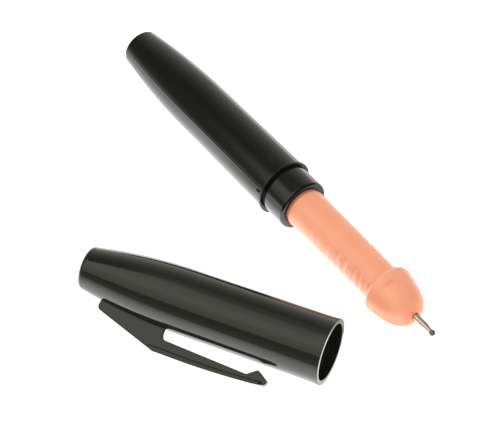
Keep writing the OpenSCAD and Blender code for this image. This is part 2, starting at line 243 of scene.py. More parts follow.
# a level that runs straight from stop to stop, each a pair of place and level
def ramped(tree, value, stops):
    ramp = addNode(tree, "ValToRGB", None, Fac=value)
    elements = ramp.color_ramp.elements
    while len(elements) < len(stops):
        elements.new(0.5)
    for element, (where, level) in zip(elements, stops):
        element.position, element.color = where, (level, level, level, 1)
    return ramp.outputs["Color"]


def measured(tree, how, source, other):
    return addNode(tree, "VectorMath", {"operation": how}, n0=source, n1=other).outputs


def fieldOf(tree, name):
    return addNode(tree, "Attribute", {"attribute_name": name}).outputs["Fac"]


def bumped(tree, shader, height, strength, depth):
    node = addNode(tree, "Bump", None, Height=height, Strength=strength, Distance=depth)
    tree.links.new(node.outputs["Normal"], shader.inputs["Normal"])


# plain finish: a noise stretched along the pen mixes two tones and sets the roughness
def twoTone(finish):
    mat, tree, shader = newMaterial(finish["name"])
    noise = pieceNoise(tree, penPlace, finish["stretch"], finish["detail"])
    feedAll(tree, shader, {
        "Base Color": mixed(tree, ranged(tree, noise, *finish["span"], 0, 1), *finish["tones"]),
        "Roughness": ranged(tree, noise, *finish["span"], *finish["rough"]), **finish["sockets"]})
    return mat


def dress(obj, mat, body, slot, *nodes):
    obj.data.materials.append(mat)
    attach(obj, body)
    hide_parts(*nodes)
    print("made", obj.name, len(obj.data.polygons), "faces")


# places of the pen and the cap, from the record's mounts and the clip's hinge
mounts = {m["name"]: m for m in frame["record"]["mounts"]}
joints = {j["name"]: j for j in frame["joints"]}
barrelSizes = {
    "length": 74.3, "rimRadius": 8.85, "bellyRadius": 8.475, "tailRadius": 5.85, "tailCurve": 33.3, "tailRound": 1.4,
    "lipRadius": 9.2, "lipLength": 0.55, "stepLength": 0.12, "wall": 1.8, "tailWall": 2.2, "seatRadius": 7.12,
    "seatDepth": 12.62, "socketRadius": 1.56, "socketOuter": 2.66, "socketDepth": 8.0,
    "seamTurn": 25.0, "seamHeight": 0.05, "seamWidth": 0.16,  # parting line left by the mould
    "seamStart": (1.5, 6), "seamEnd": (-0.4, 0),  # it comes in from the tail and goes out before the lip
    # where the gate was cut off: a nub, and a dull scar beside it
    "nubAlong": -2.1, "nubTurn": 17.5, "nubHeight": 0.12, "nubLength": 0.7, "nubWidth": 0.55,
    "scarAlong": -0.9, "scarTurn": 20.5, "scarLength": 0.9, "scarWidth": 0.4,
}
penAxis = np.array(mounts["collar_post"]["axis"])
penRim = np.array(mounts["tail_end"]["pos_m"]) + mm * barrelSizes["length"] * unit(penAxis)
penPlace = lyingAt(penRim, penAxis, (0, 0, 1))
capSizes = {
    "length": 77.14, "mouthRadius": 9.9, "bellyRadius": 9.7, "endRadius": 6.25, "endCurve": 33.0, "endRound": 1.6,
    "flare": 0.185, "flareLength": 5.0, "mouthRound": 0.2, "leadRound": 0.22, "leadRadius": 8.55, "leadLength": 3.0,
    "leadEnd": 4.5, "boreRadius": 8.24, "boreLength": 54.0, "hollowWall": 1.1, "endWall": 4.3,
}
capAxis = np.array(mounts["cap_mouth"]["axis"])
capMouth = np.array(mounts["cap_mouth"]["pos_m"]) + mm * capSizes["boreLength"] / 2 * unit(capAxis)
capPlace = lyingAt(capMouth, capAxis, -np.array(joints["clip_flex"]["axis"]))


# black moulded plastic: deep base, soft smudges in the gloss, faint drag marks along the piece
blackFinish = {"deep": (0.0084, 0.0087, 0.0064), "scuffed": (0.02, 0.02, 0.017), "gloss": 0.085, "smudged": 0.16,
               "wornRough": 0.12, "cutRough": 0.4, "cutShine": (0.5, 0.03), "bump": (0.06, 0.00004),
               # noises: stretch along, across and up the piece, detail, and roughness where it isn't half
               "smudgeNoise": ((45, 110, 110), 4), "dragNoise": ((120, 1500, 1500), 3, 0.6),
               "speckNoise": ((900, 900, 900), 2),
               # the spans of the noises, or of the cut mark, over which each effect comes in
               "smudgeSpan": (0.35, 0.75), "dragSpan": (0.6, 0.75), "wornSpan": (0.5, 0.68), "cutSpan": (0.15, 0.7)}


def blackPlastic(name, place, extraRough=0.0, fade=1.0):
    s = blackFinish
    mat, tree, shader = newMaterial(name)
    smudge, drag, speck = (pieceNoise(tree, place, *s[kind]) for kind in ("smudgeNoise", "dragNoise", "speckNoise"))
    worn = product(tree, ranged(tree, drag, *s["dragSpan"], 0, 1), ranged(tree, smudge, *s["wornSpan"], 0, 1))
    shades = (tuple(fade * part for part in s[shade]) for shade in ("deep", "scuffed"))
    rough = ranged(tree, smudge, *s["smudgeSpan"], s["gloss"] + extraRough, s["smudged"] + extraRough)
    cut = fieldOf(tree, "cutMark")  # dull where the gate was cut off and at the end of the clip's slot
    dull = combined(tree, "ADD", product(tree, worn, s["wornRough"]), product(tree, cut, s["cutRough"]))
    feedAll(tree, shader, {
        "Base Color": mixed(tree, worn, *shades), "Roughness": combined(tree, "ADD", rough, dull),
        "Specular IOR Level": ranged(tree, cut, *s["cutSpan"], *s["cutShine"]), "IOR": 1.5})
    bumped(tree, shader, speck, *s["bump"])
    return mat


barrelBlack = blackPlastic("moulded black barrel plastic", penPlace, 0.03)
capBlack = blackPlastic("moulded black cap plastic", capPlace, fade=1.7)


# radius of a turned shell: it falls evenly from the open end, less a square-law drop over the closed one
def taperedRadius(behind, s, front, closed, curve):
    straight = s["length"] - s[curve]
    taper = (s[front] - s["bellyRadius"]) / straight
    drop = s[front] - taper * s["length"] - s[closed]
    return s[front] - taper * behind - drop * (np.maximum(0, behind - straight) / s[curve]) ** 2


# closed end of a turned shell: a flat face, then an arc that ends on the side's slope, and where the side starts
def closedEnd(radiusAt, length, edgeRound, steps):
    edge = length - edgeRound
    slope = math.atan((radiusAt(edge - 0.01) - radiusAt(edge + 0.01)) / 0.02)
    centre = (-edge, radiusAt(edge) - edgeRound * math.cos(slope))
    face = np.stack([np.full(5, -length), centre[1] * np.array([0.02, 0.3, 0.6, 0.85, 0.97])], -1)
    arc = profileArc(centre, edgeRound, -90, -math.degrees(slope), steps)
    return np.vstack([face, arc]), edge + edgeRound * math.sin(slope)


# barrel: that taper from the lip to the tail
def barrelRadius(behind):
    return taperedRadius(behind, barrelSizes, "rimRadius", "tailRadius", "tailCurve")


# outside from the tail to the rim, then the seat, the hollow and the refill's socket; two seams and a nub stand
# proud as bells across the angle, and the grid is finer there
def makeBarrel():
    s = barrelSizes
    tail, sideStart = closedEnd(barrelRadius, s["length"], s["tailRound"], 14)
    stepStart = s["lipLength"] + s["stepLength"]
    behind = np.linspace(sideStart, stepStart, 120)[1:]
    behind = np.concatenate([behind[:-1], stepStart + np.array([1.2, 0.8, 0.4, 0.15, 0.05, 0])])
    behind = np.sort(behind)[::-1]  # rows crowd up to the step
    body = np.stack([-behind, barrelRadius(behind)], -1)
    t = np.linspace(0, 1, 8)[1:]
    behind = stepStart - s["stepLength"] * t
    step = np.stack([-behind, barrelRadius(behind) + (s["lipRadius"] - barrelRadius(behind)) * eased(t, 0, 1)], -1)
    floor, curveAt = s["length"] - s["tailWall"], s["length"] - s["tailCurve"]
    mouth = filleted([[-s["lipLength"] * 0.9, s["lipRadius"], 0], [0, s["lipRadius"], 0.28],
                      [0, s["seatRadius"], 0.12], [-s["seatDepth"], s["seatRadius"], 0.1],
                      [-s["seatDepth"], barrelRadius(s["seatDepth"]) - s["wall"], 0.08],
                      [-curveAt, barrelRadius(curveAt) - s["wall"], 0.5]])
    behind = np.linspace(curveAt + 1, floor - 0.2, 24)
    hollow = np.stack([-behind, barrelRadius(behind) - s["wall"]], -1)
    socketFront = -floor + s["socketDepth"]
    socket = filleted([[-floor, barrelRadius(floor) - s["wall"] - 0.3, 0], [-floor, s["socketOuter"], 0.2],
                       [socketFront, s["socketOuter"], 0.2], [socketFront, s["socketRadius"], 0.15],
                       [-floor, s["socketRadius"], 0.1], [-floor, 0.05, 0]], 4)
    outside = np.vstack([tail, body, step])
    profile = np.vstack([outside, mouth, hollow, socket])
    side = np.array([0.08, 0.15, 0.22, 0.3, 0.42, 0.6])  # columns crowd at the seams
    near = np.concatenate([-side[::-1], [0], side]) / s["rimRadius"]
    seams = np.radians([s["seamTurn"], s["seamTurn"] + 180])
    nubTurn, scarTurn = math.radians(s["nubTurn"]), math.radians(s["scarTurn"])
    nearNub = nubTurn + np.linspace(-0.12, 0.05, 9)  # and at the nub
    angle = np.unique(np.concatenate([fullTurn(176), (seams[:, None] + near).ravel(), nearNub]) % (2 * np.pi))
    along, radius = profile[:, :1] + 0 * angle, profile[:, 1:] + 0 * angle
    isOutside = (np.arange(len(profile)) < len(outside))[:, None]
    seamLength = eased(along + s["length"], *s["seamStart"]) * (1 - eased(along + s["lipLength"], *s["seamEnd"]))
    seam = sum(bell(radius * turnFrom(angle, a), 0, s["seamWidth"]) for a in seams) * seamLength
    nub = bell(along, s["nubAlong"], s["nubLength"]) * bell(radius * turnFrom(angle, nubTurn), 0, s["nubWidth"])
    radius = radius + isOutside * (s["seamHeight"] * seam + s["nubHeight"] * nub)
    obj = gridPiece("barrelShell", spun(penPlace, along, radius, angle + 0 * along), False,
                    poleOf(penPlace, -s["length"]), poleOf(penPlace, -floor))
    scar = bell(along, s["scarAlong"], s["scarLength"]) * bell(radius * turnFrom(angle, scarTurn), 0, s["scarWidth"])
    setField(obj, "cutMark", isOutside * np.clip(nub + scar, 0, 1))
    dress(obj, barrelBlack, "pen", "black_gloss", "barrel")


makeBarrel()

collarSizes = {"radius": 8.2, "length": 9.3, "round": 1.0, "grooveLength": 1.0, "grooveDepth": 0.5,
               "spigotRadius": 7.1, "spigotLength": 11.0, "hole": 6.22}


# collar: a ring profile of spigot, groove, post and rounded front edge
def makeCollar():
    s = collarSizes
    groove = s["radius"] - s["grooveDepth"]
    profile = filleted([
        [-s["spigotLength"] / 2, s["hole"], 0], [-s["spigotLength"], s["hole"], 0.15],
        [-s["spigotLength"], s["spigotRadius"], 0.2], [0.02, s["spigotRadius"], 0.05], [0.02, groove, 0.05],
        [s["grooveLength"], groove, 0.12], [s["grooveLength"], s["radius"], 0.16],
        [s["length"], s["radius"], s["round"]], [s["length"], s["hole"], 0.3],
        [-s["spigotLength"] / 2 + 0.2, s["hole"], 0]], 9)
    obj = gridPiece("collarRing", lathed(penPlace, profile, 192), True)
    dress(obj, barrelBlack, "pen", "black_gloss", "collar")


makeCollar()

sleeveSizes = {
    "start": 9.3, "root": -12.6, "flangeRadius": 7.1, "flangeFront": -11.0, "heldRadius": 6.1, "shaftRadius": 6.35,
    "tuck": 0.5, "shoulder": (0.3, 0.85),  # drawn in at the collar, then full from here to here past it
    "neckRadius": 5.95, "headAt": 48.1, "ridgeLength": 1.37, "ridgeRound": 1.45, "ridgeRise": 0.05, "ridgeTurn": -75,
    "headRadius": 8.03, "flankLength": 12.4, "flankDraw": 0.19, "flankPower": 0.72, "dimpleRadius": 1.3,
    "dimpleDepth": 0.2, "front": 61.85, "hole": 1.08, "bore": 1.56, "tubeFront": 57.9,
    "folds": (16.2, 19.2, 22.6, 26.9, 31.6, 35.2, 39.1, 41.9, 44.9),  # places of the folds, from the rim
    "foldShare": (0.25, 0.45, 0.6, 0.85, 0.9, 1.0, 1.0, 1.0, 0.6),
    "foldDepth": 0.11, "foldWidth": 0.62, "foldSlant": 1.1, "foldWave": 0.22, "foldRidge": 0.75,
    "foldNear": (0.6, 0.95), "foldFar": (0.1, 0.6), "foldFarShare": 0.6, "foldLeast": 0.06,  # how they fade round it
    "fineDepth": 0.016, "fineFrom": (14, 24), "lumps": 0.03,
    "creaseAlong": 52.2, "creaseTurn": 72.0, "creaseDepth": 0.2, "creaseSlant": 0.012, "creaseSize": (0.62, 15),
    "pitAlong": 53.0, "pitTurn": -8.0, "pitDepth": 0.3, "pitSize": (0.9, 1.0),
    "notch": 2.4, "notchLength": 2.2, "notchSide": (0.55, 1.0),  # how far the ridge runs forward underneath
    "shaftEnd": (-1.6, -0.5), "headStart": (0.3, 2),  # from the head's place: folds end, lumps and creases start
    "sagTurn": -22.0, "sag": (-0.14, 0.0075),  # the soft sleeve leans a little out of line towards this side
}


# folds: at each place a groove and, just ahead of it, a low ridge; they lean back over the top and fade there
def sleeveFolds(along, angle):
    s = sleeveSizes
    total = 0 * along
    flank = eased(np.cos(angle), *s["foldNear"]) + s["foldFarShare"] * eased(-np.cos(angle), *s["foldFar"])
    flank = flank + s["foldLeast"]
    for number, (middle, share) in enumerate(zip(s["folds"], s["foldShare"])):
        shift = s["foldSlant"] * np.cos(angle) ** 3 + s["foldWave"] * np.sin(2 * angle + 2.1 * number)
        u = (along - middle - shift) / s["foldWidth"]
        total = total + share * flank * (s["foldRidge"] * bell(u, 1.7, 0.9) - bell(u, 0, 1.0))
    fine = np.sin(along * 3.9 + 2 * np.sin(2 * angle)) * np.sin(along * 1.7 + 3 * angle)
    return s["foldDepth"] * total + s["fineDepth"] * fine * flank * eased(along, *s["fineFrom"])


# sleeve: root flange, a shaft that narrows evenly and is folded on the way, then the ridge's arc, the head's flank as a
# power of a cosine, drawn in half way, the dimple and the bore
def makeSleeve():
    s = sleeveSizes
    shoulder = s["start"] + np.array(s["shoulder"])
    shaftAlong = np.concatenate([np.linspace(s["start"], shoulder[1], 24)[:-1],
                                 np.linspace(shoulder[1], s["headAt"] - 0.9, 230)])
    fall = (s["shaftRadius"] - s["neckRadius"]) / (s["headAt"] - s["start"])
    swell = (s["shaftRadius"] - s["heldRadius"] + s["tuck"]) * eased(shaftAlong, *shoulder) - s["tuck"]
    shaft = np.stack([shaftAlong, s["heldRadius"] + swell - fall * (shaftAlong - s["start"])], -1)
    root = filleted([[s["root"] / 2, s["bore"], 0], [s["root"], s["bore"], 0.1], [s["root"], s["flangeRadius"], 0.15],
                     [s["flangeFront"], s["flangeRadius"], 0.15], [s["flangeFront"], s["heldRadius"], 0.1],
                     [s["start"] - 0.3, s["heldRadius"], 0]], 4)
    ridgeCentre = (s["headAt"] + s["ridgeLength"], s["headRadius"] - s["ridgeRound"])
    ridge = profileArc(ridgeCentre, s["ridgeRound"], s["ridgeTurn"], 0, 16)
    neck = filleted([[s["headAt"] - 0.8, s["neckRadius"], 0], [s["headAt"] + 0.05, s["neckRadius"], 0.45],
                     [*ridge[0], 0]], 9)
    last = math.acos((s["dimpleRadius"] / s["headRadius"]) ** (1 / s["flankPower"]))
    a = np.linspace(0, last, 90)[1:]
    drawn = 1 - s["flankDraw"] * np.sin(a) * (1 - np.sin(a))
    flankRadius = s["headRadius"] * np.cos(a) ** s["flankPower"] * drawn
    flank = np.stack([ridgeCentre[0] + s["flankLength"] * np.sin(a), flankRadius], -1)
    inside = filleted([[*flank[-1], 0], [s["front"] - 0.05, s["hole"] + 0.12, 0.1],
                       [s["front"] - s["dimpleDepth"], s["hole"], 0.15],
                       [s["tubeFront"], s["hole"], 0.05], [s["tubeFront"], s["bore"], 0.05],
                       [s["root"] / 2 + 0.2, s["bore"], 0]], 5)[1:]
    profile = np.vstack([root, shaft, neck, ridge[1:], flank, inside])
    angle = fullTurn(216)
    along, radius = profile[:, :1] + 0 * angle, profile[:, 1:] + 0 * angle
    angles = angle + 0 * along
    row = np.arange(len(profile))[:, None]
    shown = (row >= len(root)) & (row < len(profile) - len(inside))
    onShaft = 1 - eased(along - s["headAt"], *s["shaftEnd"])
    depth = sleeveFolds(along, angles) * onShaft
    onHead = eased(along - s["headAt"], *s["headStart"])
    fromCrease = np.degrees(turnFrom(angles, math.radians(s["creaseTurn"])))
    creaseLine = along - s["creaseSlant"] * fromCrease
    crease = bell(creaseLine, s["creaseAlong"], s["creaseSize"][0]) * bell(fromCrease, 0, s["creaseSize"][1])
    fromPit = radius * turnFrom(angles, math.radians(s["pitTurn"]))
    pit = bell(along, s["pitAlong"], s["pitSize"][0]) * bell(fromPit, 0, s["pitSize"][1])
    rise = bell(along, s["headAt"] + s["ridgeLength"] + 0.1, 0.5) * s["ridgeRise"]
    lumps = s["lumps"] * np.sin(0.9 * along + 2 * np.sin(angles)) * np.sin(2 * angles + 0.5 * along)
    depth = depth + onHead * (lumps - s["creaseDepth"] * crease - s["pitDepth"] * pit) + rise
    lean = (s["sag"][0] + s["sag"][1] * (along - s["start"])) * eased(along, s["start"], s["start"] + 3)
    lean = lean * (1 - eased(along, s["front"] - 1.2, s["front"])) * np.cos(angles - math.radians(s["sagTurn"]))
    under = eased(-np.sin(angles), *s["notchSide"]) ** 2  # the ridge runs forward in a notch underneath
    notch = s["notch"] * under * bell(along, s["headAt"] + 0.8, s["notchLength"])
    grid = spun(penPlace, along + notch * shown, radius + (depth + lean) * shown, angles)
    obj = gridPiece("gripSleeve", grid, True)
    # fold depth: the material paints shade into the hollows and a highlight onto the crests from it
    setField(obj, "hollow", shown * np.clip(-depth / s["foldDepth"], -1, 2))
    # painted shade: darker in the crease and the pit, round the point's hole and where the sleeve leaves the collar
    setField(obj, "paintedShade", shown * (crease + 0.8 * pit + bell(along, s["front"] - 0.3, 0.5)
                                       + 0.8 * bell(along, s["start"], 0.5)))
    dress(obj, fleshVinyl(), "pen", "flesh_vinyl", "grip_sleeve")


# soft vinyl: warm base, slow mottle, light let in below the skin; painted shade (darker, redder) in hollows, crease,
# pit, at point and collar; painted highlight on crests
vinylFinish = {"base": (0.985, 0.362, 0.19), "mottle": (0.99, 0.388, 0.218), "hollow": (0.93, 0.28, 0.115),
               "crest": (0.95, 0.5, 0.33), "bump": (0.05, 0.00006),
               "mottleNoise": ((110, 150, 150), 3), "grainNoise": ((1300, 1300, 1300), 3),
               # from a span of the noise or the field to a span of the colour's share or the roughness
               "mottleShare": (0.35, 0.65, 0, 1), "crestHighlightShare": (-0.1, -0.6, 0, 0.3),
               "hollowShadeShare": (0.1, 0.9, 0, 0.25), "paintedShadeShare": (0.1, 1, 0, 0.6), "rough": (0.3, 0.7, 0.45, 0.52),
               "sockets": {"Coat Weight": 0.7, "Coat Roughness": 0.36, "Subsurface Weight": 0.25,
                           "Subsurface Radius": (1.0, 0.4, 0.22), "Subsurface Scale": 0.0012}}


def fleshVinyl():
    s = vinylFinish
    mat, tree, shader = newMaterial("flesh soft vinyl")
    mottle, grain = (pieceNoise(tree, penPlace, *s[kind]) for kind in ("mottleNoise", "grainNoise"))
    hollow, red = fieldOf(tree, "hollow"), fieldOf(tree, "paintedShade")
    base = mixed(tree, ranged(tree, mottle, *s["mottleShare"]), s["base"], s["mottle"])
    # painted highlight: paler on the fold crests
    crest = mixed(tree, ranged(tree, hollow, *s["crestHighlightShare"]), base, s["crest"])
    # painted shade: darker and redder in the fold hollows
    deep = mixed(tree, ranged(tree, hollow, *s["hollowShadeShare"]), crest, s["hollow"])
    # painted shade in the crease, the pit, round the point and at the collar
    shadedTone = mixed(tree, ranged(tree, red, *s["paintedShadeShare"]), deep, s["hollow"])
    rough = ranged(tree, mottle, *s["rough"])
    feedAll(tree, shader, {"Base Color": shadedTone, "Roughness": rough, **s["sockets"]})
    bumped(tree, shader, grain, *s["bump"])
    return mat


makeSleeve()

pointSizes = {"plugStart": 51.9, "plugRadius": 0.93, "tubeFront": 57.9, "radius": 1.06, "coneAt": 66.0,
              "noseAt": 69.0, "noseRadius": 0.56, "channel": 0.3, "ballAt": 68.85, "socket": 0.52}
nickelFinish = {"tones": ((0.72, 0.64, 0.57), (0.8, 0.73, 0.66)), "toneNoise": ((300, 500, 500), 2),
                "toneShare": (0.3, 0.7, 0, 1), "rough": (0.3, 0.7, 0.24, 0.34), "bump": (0.12, 0.00002),
                "rings": {"Scale": 9.0, "Detail": 3.0},  # lathe rings, over millimetres along the point
                # the specular tint paints a dark reflection along the edges
                "sockets": {"Metallic": 1.0, "Specular Tint": (0.3, 0.27, 0.24)}}


# turned metal: fine rings from the lathe, a little uneven in tone, and a painted dark reflection that makes it darker
# where it is seen edge on
def pointNickel():
    s = nickelFinish
    mat, tree, shader = newMaterial("turned nickel point")
    turning = fieldOf(tree, "turning")
    rings = addNode(tree, "TexNoise", {"noise_dimensions": "1D"}, W=turning, **s["rings"]).outputs["Fac"]
    tone = pieceNoise(tree, penPlace, *s["toneNoise"])
    feedAll(tree, shader, {
        "Base Color": mixed(tree, ranged(tree, tone, *s["toneShare"]), *s["tones"]),
        "Roughness": ranged(tree, rings, *s["rough"]), **s["sockets"]})
    bumped(tree, shader, rings, *s["bump"])
    return mat


# point: plug, shank, cone and the rounded socket for the ball, as one ring profile
def makePoint():
    s = pointSizes
    rimTurn = math.degrees(math.asin((s["noseAt"] - s["ballAt"]) / s["socket"]))
    channelTurn = -math.degrees(math.acos(s["channel"] / s["socket"]))
    socket = profileArc((s["ballAt"], 0), s["socket"], rimTurn, channelTurn, 14)
    outside = filleted([
        [s["plugStart"] + 1, s["channel"], 0], [s["plugStart"], s["channel"], 0.06],
        [s["plugStart"], s["plugRadius"], 0.1], [s["tubeFront"], s["plugRadius"], 0.04],
        [s["tubeFront"], s["radius"], 0.04], [s["coneAt"], s["radius"], 0.5],
        [s["noseAt"], s["noseRadius"], 0.03], [*socket[0], 0]], 9)
    profile = np.vstack([outside, socket[1:]])
    grid = lathed(penPlace, profile, 96)
    obj = gridPiece("pointMetal", grid, True)
    setField(obj, "turning", np.repeat(profile[:, 0], grid.shape[1]))
    dress(obj, pointNickel(), "pen", "point_metal", "ballpoint_tip")


makePoint()

beadSizes = {"at": 69.49, "radius": 0.95, "seat": 0.633, "seatFront": 69.04, "hollow": 0.54, "ballAt": 68.85}
beadFinish = {"name": "dark sealing bead", "stretch": (900, 900, 900), "detail": 3, "span": (0.3, 0.7),
              "tones": ((0.09, 0.09, 0.1), (0.17, 0.17, 0.185)), "rough": (0.2, 0.34),
              "sockets": {"Subsurface Weight": 0.1, "Subsurface Scale": 0.0004}}


# bead: a ball profile with a seat for the cone and a hollow over the writing ball
def makeBead():
    s = beadSizes
    back = -math.degrees(math.acos(s["seat"] / s["radius"]))
    ball = profileArc((s["at"], 0), s["radius"], back, 89, 34)
    step = math.degrees(math.asin((s["seatFront"] - s["ballAt"]) / s["hollow"]))
    hollow = profileArc((s["ballAt"], 0), s["hollow"], 89, step, 12)
    seat = filleted([[*hollow[-1], 0], [s["seatFront"], s["seat"], 0.02], [*ball[0], 0]], 4)[1:]
    # from the front round the outside to the seat, then the hollow back to the front
    profile = np.vstack([ball[::-1], seat[-2::-1], hollow[::-1]])
    obj = gridPiece("sealBead", lathed(penPlace, profile, 72), False,
                    poleOf(penPlace, s["at"] + s["radius"]), poleOf(penPlace, s["ballAt"] + s["hollow"]))
    dress(obj, twoTone(beadFinish), "bead", "bead_wax", "tip_bead")


makeBead()


# cap: the same taper, plus a square-law flare at the mouth
def capRadius(behind):
    s = capSizes
    flare = s["flare"] * np.maximum(0, 1 - behind / s["flareLength"]) ** 2
    return taperedRadius(behind, s, "mouthRadius", "endRadius", "endCurve") + flare


# outside from the closed end to the mouth, round its edge, and down the bore to the hollow's end
def makeCap():
    s = capSizes
    closed, sideStart = closedEnd(capRadius, s["length"], s["endRound"], 16)
    behind = np.linspace(sideStart, s["mouthRound"], 170)[1:-1]
    body = np.stack([-behind, capRadius(behind)], -1)
    r, mouth = s["mouthRound"], capRadius(s["mouthRound"])
    outerEdge = profileArc((-r, mouth - r), r, 0, 90, 10)
    lead = s["leadRound"]
    innerEdge = profileArc((-lead, s["leadRadius"] + lead), lead, 90, 180, 8)
    behind = np.linspace(lead, s["boreLength"], 60)[1:]
    relief = (s["leadRadius"] - s["boreRadius"]) * (1 - eased(behind, s["leadLength"], s["leadEnd"]))
    bore = np.stack([-behind, s["boreRadius"] + relief], -1)
    depth = s["length"] - s["endWall"]
    behind = np.linspace(s["boreLength"], depth, 30)[1:]
    hollow = np.stack([-behind, np.minimum(s["boreRadius"], capRadius(behind) - s["hollowWall"])], -1)
    hollowEnd = np.stack([np.full(3, -depth), hollow[-1, 1] * np.array([0.97, 0.6, 0.05])], -1)
    profile = np.vstack([closed, body, outerEdge, innerEdge, bore, hollow, hollowEnd])
    obj = gridPiece("capShell", lathed(capPlace, profile, 208), False,
                    poleOf(capPlace, -s["length"]), poleOf(capPlace, -depth))
    dress(obj, capBlack, "cap", "black_gloss", "cap_shell")


makeCap()

clipSizes = {
    "finBack": 69.2, "noseRound": 0.55, "finHeight": 2.8, "finRound": 1.4, "noseTurn": 205.0, "finCorner": 49.1,
    "cornerRound": 2.0, "armRoot": 45.84, "armLength": 31.75, "gapRoot": 3.0, "gapTip": 4.1, "gapTooth": 2.05,
    "heightRoot": 4.1, "heightTip": 1.7, "bow": 0.5, "toothLength": 6.6, "toothLead": 3.6, "toothRound": 0.9,
    "toothFillet": 0.7, "toothBackBy": 0.03, "toothDrop": 0.22,  # its corner, before rounding, lies back and in
    "tipHeight": 1.7, "tipChamfer": 0.75, "tipLift": 0.42, "liftLength": 4.5,
    "slotRound": 1.9, "slotBack": 0.5, "web": 1.1, "flange": 1.4, "flangeLead": 2.1, "flangeStart": 0.8,
    "flangeRoot": 1.5, "flangeTip": 1.05, "flangeInset": 1.0, "flangeFade": 0.2,
    "flangeAt": (0.3, 0.12, 0.03, -0.04, -0.14), "flangeShare": (0, 0.02, 0.25, 0.8, 1),  # its soft inner edge
    "sunk": 0.6, "edge": 0.22, "footSpread": 0.08, "footAt": (0, 0.1, 0.2, 0.35), "footShare": (1, 0.53, 0.2, 0),
    "footEnd": (-2.2, -1.5), "dullStart": (-1.6, -1.4), "dullEnd": (0.3, 1.2),  # from the slot's end
    "wallRoom": 1.6, "tipRoom": 0.5, "armLead": 0.5, "evenFrom": 20.0, "stations": 330, "closest": 0.015,
    "bend": (0.2, 3.5),  # a span from just past the slot's end to this far past its root
}


